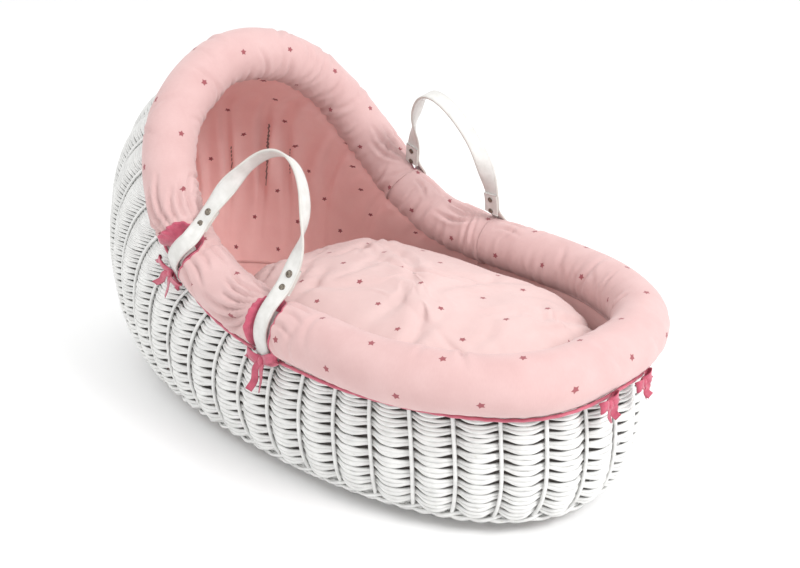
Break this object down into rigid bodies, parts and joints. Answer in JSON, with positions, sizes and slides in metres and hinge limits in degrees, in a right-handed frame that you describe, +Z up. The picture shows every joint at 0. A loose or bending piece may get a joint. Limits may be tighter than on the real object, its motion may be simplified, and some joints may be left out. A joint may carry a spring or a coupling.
{
  "type": "hooded wicker bassinet basket",
  "caption": "Hooded wicker bassinet basket with a padded fabric liner and bumper, mattress, plump coverlet and two swinging leather carrying handles.",
  "frame": {"origin": "middle of the overall box, on the floor plane", "axes": "+X toward the foot end, -X toward the hood; +Y toward the far side; +Z up"},
  "size_m": [0.8533, 0.4458, 0.4713],
  "materials": {
    "wicker": "satin paint over willow",
    "liner_fabric": "plain woven cotton, padded",
    "lining_fabric": "plain woven cotton, gathered",
    "coverlet_fabric": "plain woven cotton, plump filling",
    "trim_ribbon": "satin ribbon and piping",
    "strap_leather": "smooth dyed leather",
    "rivet_metal": "darkened, domed",
    "foam": "open-cell foam",
    "sheet_cotton": "plain woven cotton"
  },
  "bodies": {
    "basket": {"base_ring": "wicker", "base_weave": "wicker", "waling_band": "wicker", "side_weave": "wicker", "hood_weave": "wicker", "uprights": "wicker", "rim_border": "wicker", "liner_floor": "lining_fabric", "side_lining": "lining_fabric", "hood_lining": "lining_fabric", "hood_bumper": "liner_fabric", "foot_bumper": "liner_fabric", "near_bumper": "liner_fabric", "far_bumper": "liner_fabric", "hem_piping": "trim_ribbon", "slit_bindings": "trim_ribbon", "rear_ties": "trim_ribbon", "front_ties": "trim_ribbon", "foot_ties": "trim_ribbon", "near_strap_loops": "strap_leather", "far_strap_loops": "strap_leather"},
    "near_handle": {"near_handle_strap": "strap_leather", "near_handle_tabs": "strap_leather", "near_handle_rivets": "rivet_metal"},
    "far_handle": {"far_handle_strap": "strap_leather", "far_handle_tabs": "strap_leather", "far_handle_rivets": "rivet_metal"},
    "mattress": {"mattress_foam": "foam", "mattress_sheet": "sheet_cotton"},
    "coverlet": {"coverlet": "coverlet_fabric"}
  },
  "joints": [
    {"name": "near_handle_swing", "type": "hinge", "parent": "basket", "child": "near_handle", "pos_m": [0.009, -0.187, 0.2545], "axis": [0.9661, 0, -0.2581], "range_deg": [0, 120]},
    {"name": "far_handle_swing", "type": "hinge", "parent": "basket", "child": "far_handle", "pos_m": [0.009, 0.187, 0.2545], "axis": [-0.9661, 0, 0.2581], "range_deg": [-15, 100]},
    {"name": "mattress_lift", "type": "slide", "parent": "basket", "child": "mattress", "axis": [0, 0, 1], "range_m": [0, 0.09]},
    {"name": "coverlet_lift", "type": "slide", "parent": "mattress", "child": "coverlet", "axis": [0, 0, 1], "range_m": [0, 0.06]}
  ]
}
